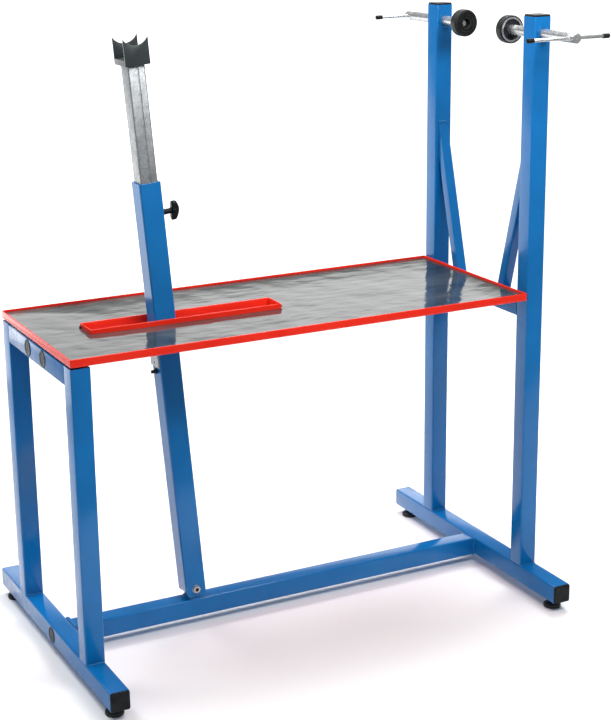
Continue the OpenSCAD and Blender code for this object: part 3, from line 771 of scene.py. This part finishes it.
# the wing knob's lobes, their distance from its middle, and its hub, in millimetres
LOBE_R, LOBE_X, HUB_R = 8.2, 18, 11.5
knob_face = 70.5 * MM


def wing(scale, z, n=56):
    pts = []
    for i in range(n):
        a = 2 * math.pi * i / n
        ca, sa = abs(math.cos(a)), abs(math.sin(a))
        side = LOBE_R / sa if sa > 1e-6 else 1e9
        lobe = LOBE_X * ca + math.sqrt(max(LOBE_R ** 2 - (LOBE_X * sa) ** 2, 0))
        rr = max(side if side * ca < LOBE_X else lobe, HUB_R)
        rr = rr * scale * MM
        # long axis near the vertical, turned a little round its stem
        b = a + math.radians(14)
        pts.append(Vector((rr * math.cos(b), rr * math.sin(b), z)))
    return pts


bm = bmesh.new()
tops = []
for rr_, z in ((0.80, 57), (0.93, 57.6), (0.99, 59), (1.0, 62), (0.985, 67), (0.93, 70.5)):
    tops.append(wing(rr_, z * MM))
dome = x_out - knob_face
for k in range(1, 6):
    f = k / 6
    tops.append([Vector((p.x * (1 - f), p.y * (1 - f),
                         knob_face + dome * math.sin(f * math.pi / 2) * 0.9)) for p in tops[5]])
loft(bm, tops, KNOB)
loft(bm, [circle(5 * MM, x_in), circle(5 * MM, boss_out + 0.4 * MM)], KNOB)
lathe(bm, [(6.6 * MM, boss_out + 0.4 * MM), (7.5 * MM, boss_out + 1.2 * MM), (7.4 * MM, boss_out + 8 * MM),
           (6.9 * MM, 52 * MM), (8 * MM, 57.5 * MM)], KNOB)
piece("wing_knob_body", bm, PLASTIC, "knob", "black_plastic", "wing_knob", angle=48)

# locknut and adjuster screw on the left face
az = (local_z("adjuster_nut") + local_z("adjuster_nut", False)) / 2
ADJ = POST @ at(0, 0, az) @ turn(-90, "Y")
bm = bmesh.new()
nut(bm, 13 * MM, 6 * MM, ADJ @ at(0, 0, pw / 2), 4.05 * MM)
piece("adjuster_lock_nut", bm, OXIDE, "post", "black_steel", "adjuster_nut")
bm = bmesh.new()
prof = [(4 * MM, mw / 2 + 3.4 * MM), (4 * MM, 36 * MM), (4.7 * MM, 36 * MM), (4.75 * MM, 36.6 * MM),
        (4.75 * MM, 42.8 * MM), (4.2 * MM, 43.8 * MM), (3.2 * MM, 44 * MM), (2.2 * MM, 43.6 * MM)]
lathe(bm, prof, ADJ, n=48)
piece("adjuster_thumb_screw", bm, OXIDE, "adjuster", "black_steel", "adjuster_screw")

# ---------------------------------------------------------------- clamps
for side, s in (("front", -1), ("rear", 1)):
    lo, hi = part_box(side + "_spindle")
    c = middle(side + "_spindle")
    SP = at(c.x, 0, c.z) @ (turn(-90, "X") if s > 0 else turn(90, "X"))
    p_lo, p_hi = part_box(side + "_pad")
    u0, u2 = sorted((abs(p_lo[1]), abs(p_hi[1])))
    q_lo, q_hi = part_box(side + "_cup")
    u1, v1 = sorted((abs(q_lo[1]), abs(q_hi[1])))
    cr = (q_hi[2] - q_lo[2]) / 2
    pr = (p_hi[2] - p_lo[2]) / 2
    # moulded rubber disc with two rings and a deep middle
    prof = [(11 * MM, u1), (11 * MM, u0 + 4 * MM), (12 * MM, u0 + 1.6 * MM), (14.2 * MM, u0 + 0.6 * MM),
            (17.6 * MM, u0 + 0.4 * MM), (18.4 * MM, u0 + 2.0 * MM), (19.6 * MM, u0 + 2.0 * MM),
            (20.4 * MM, u0 + 0.3 * MM), (25.4 * MM, u0), (26.1 * MM, u0 + 1.7 * MM),
            (27.3 * MM, u0 + 1.7 * MM), (28 * MM, u0 + 0.2 * MM), (pr - 4 * MM, u0 + 0.4 * MM),
            (pr - 1.6 * MM, u0 + 1.4 * MM), (pr - 0.3 * MM, u0 + 3.6 * MM), (pr, u0 + 6 * MM),
            (pr, u2 - 3 * MM), (pr - 0.5 * MM, u2 - 0.9 * MM), (pr - 1.6 * MM, u2), (pr - 3.2 * MM, u2),
            (cr + 0.1 * MM, u2 - 0.8 * MM), (cr + 0.1 * MM, u1)]
    bm = bmesh.new()
    loft(bm, [circle(r_, z, 96) for r_, z in prof], SP, loop=True)
    piece(side + "_rubber_pad", bm, RUBBER, side + "_clamp", "pad_rubber", side + "_pad", angle=45)
    bm = bmesh.new()
    ci = 27 * MM  # bore of the cup
    prof = [(ci, u1 + 3 * MM), (ci, u1), (cr, u1), (cr, v1 - 0.8 * MM), (cr - 0.8 * MM, v1),
            (ci + 0.8 * MM, v1), (ci, v1 - 0.8 * MM)]
    loft(bm, [circle(r_, z, 96) for r_, z in prof], SP, loop=True)
    piece(side + "_steel_cup", bm, ZINC, side + "_clamp", "zinc_plate", side + "_cup", angle=35)
    # the floor of the cup with its pressed rings, made black as painted shade in the cup's hollow
    bm = bmesh.new()
    prof = [(6.05 * MM, u1), (ci, u1), (ci, u1 + 3 * MM), (19 * MM, u1 + 3 * MM),
            (18.4 * MM, u1 + 2.4 * MM), (16.6 * MM, u1 + 2.4 * MM), (16 * MM, u1 + 3 * MM),
            (6.05 * MM, u1 + 3 * MM)]
    loft(bm, [circle(r_, z, 96) for r_, z in prof], SP, loop=True)
    piece(side + "_cup_floor_painted_shade", bm, OXIDE, side + "_clamp", "zinc_plate", angle=35)
    # turned spindle with chamfered head
    sp0, sp1 = sorted((abs(lo[1]), abs(hi[1])))
    head_mid = sp1 - 15 * MM
    rr_ = rod_r
    prof = [(5.9 * MM, sp0), (5.9 * MM, u1 + 3.2 * MM), (rr_ - 1.2 * MM, u1 + 3.3 * MM),
            (rr_ - 0.1 * MM, u1 + 4.6 * MM), (rr_ - 0.1 * MM, head_mid - 17 * MM),
            (rr_ - 0.9 * MM, head_mid - 16 * MM), (rr_ - 0.9 * MM, head_mid - 14.6 * MM),
            (rr_, head_mid - 13.6 * MM), (rr_, sp1 - 2.4 * MM), (rr_ - 0.8 * MM, sp1 - 0.9 * MM),
            (rr_ - 3 * MM, sp1), (2.4 * MM, sp1), (1.6 * MM, sp1 - 1.6 * MM)]
    bm = bmesh.new()
    lathe(bm, prof, SP, n=96)
    piece(side + "_screw_spindle", bm, ZINC, side + "_screw", "zinc_plate", side + "_spindle", angle=35)
    bm = bmesh.new()
    w0 = u1 - 0.6 * MM
    flip = SP @ at(0, 0, w0) @ turn(180, "X")
    lathe(bm, [(3 * MM, 0), (9 * MM, 0), (9 * MM, 1.1 * MM), (8.6 * MM, 1.4 * MM), (3 * MM, 1.4 * MM)],
          flip)
    loft(bm, [hexagon(10.6 * MM, 1.4 * MM), hexagon(10.6 * MM, 4.6 * MM),
              hexagon(10.6 * MM, 5.4 * MM, round_r=5.25 * MM),
              circle(3.0 * MM, 5.4 * MM, 48), circle(2.2 * MM, 4.4 * MM, 48)], flip)
    lathe(bm, [(2.9 * MM, -14 * MM), (2.9 * MM, 0)], flip)
    piece(side + "_pad_centre_screw", bm, ZINC, side + "_screw", "zinc_plate", side + "_pad_screw",
          angle=30)
    b_lo, b_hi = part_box(side + "_bar")
    bx, by, bz = middle(side + "_bar")
    half = (b_hi[0] - b_lo[0]) / 2
    BAR = at(bx, by, bz) @ turn(90, "Y")
    bm = bmesh.new()
    lathe(bm, [(3.4 * MM, -half + 2 * MM), (4.5 * MM, -half + 4 * MM), (4.5 * MM, half - 4 * MM),
               (3.4 * MM, half - 2 * MM)],
          BAR, n=40)
    piece(side + "_handle_bar", bm, ZINC, side + "_tommy_bar", "zinc_plate", side + "_bar")
    bm = bmesh.new()
    for e_ in (-1, 1):
        M2 = BAR @ at(0, 0, e_ * half) @ (turn(180, "X") if e_ > 0 else Matrix())
        lathe(bm, [(1.6 * MM, 0), (4.2 * MM, 0.3 * MM), (5.6 * MM, 1.6 * MM), (6 * MM, 3.4 * MM),
                   (5.9 * MM, 17 * MM),
                   (6 * MM, 19 * MM), (5.5 * MM, 20 * MM), (4.5 * MM, 20 * MM)], M2, n=48)
    piece(side + "_bar_sleeves", bm, PLASTIC, side + "_tommy_bar", "black_plastic", angle=45)

# ---------------------------------------------------------------- feet
for k in ("fl", "fr", "rl", "rr"):
    lo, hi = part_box("foot_pad_" + k)
    c = middle("foot_pad_" + k)
    rr_, h = (hi[0] - lo[0]) / 2, hi[2] - lo[2]
    F = at(c.x, c.y, 0)
    bm = bmesh.new()
    prof = [(5.1 * MM, h), (5.1 * MM, 6 * MM), (4 * MM, 5 * MM), (0.4 * MM, 5 * MM)]
    loft(bm, [circle(r_, z) for r_, z in reversed(prof)], F, caps=(True, False))
    prof = [(5.1 * MM, h), (10 * MM, h), (rr_ - 8 * MM, h - 0.4 * MM), (rr_ - 6 * MM, h - 1.4 * MM),
            (rr_ - 1.6 * MM, h - 4.4 * MM), (rr_ - 0.5 * MM, h - 5.4 * MM), (rr_, h - 7 * MM),
            (rr_, 2 * MM), (rr_ - 1 * MM, 0.5 * MM), (rr_ - 2.2 * MM, 0), (0.4 * MM, 0)]
    loft(bm, [circle(r_, z) for r_, z in prof], F, caps=(False, True))
    piece("levelling_pad_" + k, bm, FOOT, "foot_" + k, "black_plastic", "foot_pad_" + k, angle=40)
    lo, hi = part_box("foot_stud_" + k)
    bm = bmesh.new()
    beam_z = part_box("left_foot_beam")[0][2]
    shank = ((3.5 * MM, lo[2]), (4.9 * MM, lo[2] + 1 * MM), (4.9 * MM, h + 0.5 * MM))
    loft(bm, [circle(r_, z, 48) for r_, z in shank], F, caps=(True, False))
    nut(bm, 19 * MM, beam_z - h - 1 * MM, F @ at(0, 0, h + 0.4 * MM), 4.7 * MM)
    # thread turns of the stud
    rows = []
    z = h
    while z < hi[2] - 1 * MM:
        rows += [circle(4.95 * MM, z, 32), circle(4.25 * MM, z + 0.75 * MM, 32)]
        z += 1.5 * MM
    loft(bm, rows, F)
    piece("levelling_stud_" + k, bm, OXIDE, "stud_" + k, "black_steel", "foot_stud_" + k, angle=50)

# ---------------------------------------------------------------- floor, light, camera
sc = bpy.context.scene
m, nt, b = shader("studio_floor", (0.9, 0.9, 0.9), 0.6)
nt.links.new(two_colors(nt, noise(nt, coords(nt), 0.6, 2), (0.895, 0.895, 0.895), (0.91, 0.91, 0.91)),
             b.inputs["Base Color"])
b.inputs["Specular IOR Level"].default_value = 0.1
bm = bmesh.new()
bmesh.ops.create_grid(bm, x_segments=2, y_segments=2, size=1)
for v in bm.verts:
    v.co = (-1.2 + v.co.x * 3.2, 0.8 + v.co.y * 2.2, 0)
me = bpy.data.meshes.new("floor")
bm.to_mesh(me)
bm.free()
me.materials.append(m)
floor = bpy.data.objects.new("floor", me)
sc.collection.objects.link(floor)

world = bpy.data.worlds.new("studio")
sc.world = world
world.use_nodes = True
wt = world.node_tree
sky = wt.nodes["Background"]
sky.inputs["Color"].default_value = (1, 1, 1, 1)
way = wt.nodes.new("ShaderNodeTexCoord")


def toward(axis, a, b, lo, hi):
    """Strength that goes from lo to hi as the direction turns towards the axis."""
    d = wt.nodes.new("ShaderNodeVectorMath")
    d.operation = "DOT_PRODUCT"
    d.inputs[1].default_value = axis
    wt.links.new(way.outputs["Generated"], d.inputs[0])
    return spread(wt, d.outputs["Value"], lo, hi, a, b)


def times(a, b, how="MULTIPLY"):
    n = wt.nodes.new("ShaderNodeMath")
    n.operation = how
    wt.links.new(a, n.inputs[0])
    wt.links.new(b, n.inputs[1])
    return n.outputs[0]


# a bright low sweep behind, brightest to the left of it, and a dim room above and in front
low = times(toward((-0.449, 0.887, -0.104), 0.1, 0.9, 0.0, 2.1), toward((0, 0, 1), -0.02, 0.03, 1, 0))
wall = times(toward((0.62, 0.78, 0), 0.80, 0.95, 0.0, 1.3), toward((0, 0, 1), 0.29, 0.36, 1, 0))
upper = times(wall, toward((0, 0, 1), -0.02, 0.03, 0, 1))
rest = toward((0, 0, 1), -1, 1, 0.30, 0.34)
wt.links.new(times(times(low, upper, "ADD"), rest, "ADD"), sky.inputs["Strength"])


def softbox(name, pos, look, size, power):
    l = bpy.data.lights.new(name, "AREA")
    l.shape = "RECTANGLE"
    l.size, l.size_y = size
    l.energy = power
    o = bpy.data.objects.new(name, l)
    o.location = pos
    o.rotation_euler = (Vector(look) - Vector(pos)).to_track_quat("-Z", "Y").to_euler()
    sc.collection.objects.link(o)


softbox("front", (0.4, -1.6, 2.6), (0.2, 0, 1.45), (1.6, 0.9), 50)
softbox("top_right", (1.4, 1.1, 4.2), (0.8, 0.6, 0), (2.4, 2.0), 145)
softbox("top_left", (-1.4, 1.2, 4.2), (-0.9, 0.6, 0), (2.4, 2.4), 145)

sc.view_settings.view_transform = "Standard"
cam = bpy.data.cameras.new("camera")
cam.lens = 83.515
cam.sensor_width = 36
cam.clip_end = 100
co = bpy.data.objects.new("camera", cam)
yaw, pitch, roll = 0.4717, 0.2870, -0.0120
eye = (-1.89583, -3.77544, 1.92792)
fwd = Vector((math.sin(yaw) * math.cos(pitch), math.cos(yaw) * math.cos(pitch), -math.sin(pitch)))
right = Vector((math.cos(yaw), -math.sin(yaw), 0))
upv = right.cross(fwd)
r2 = right * math.cos(roll) + upv * math.sin(roll)
u2 = upv * math.cos(roll) - right * math.sin(roll)
co.matrix_world = Matrix(((r2.x, u2.x, -fwd.x, eye[0]), (r2.y, u2.y, -fwd.y, eye[1]),
                          (r2.z, u2.z, -fwd.z, eye[2]), (0, 0, 0, 1)))
sc.collection.objects.link(co)
sc.camera = co

bpy.context.view_layer.update()
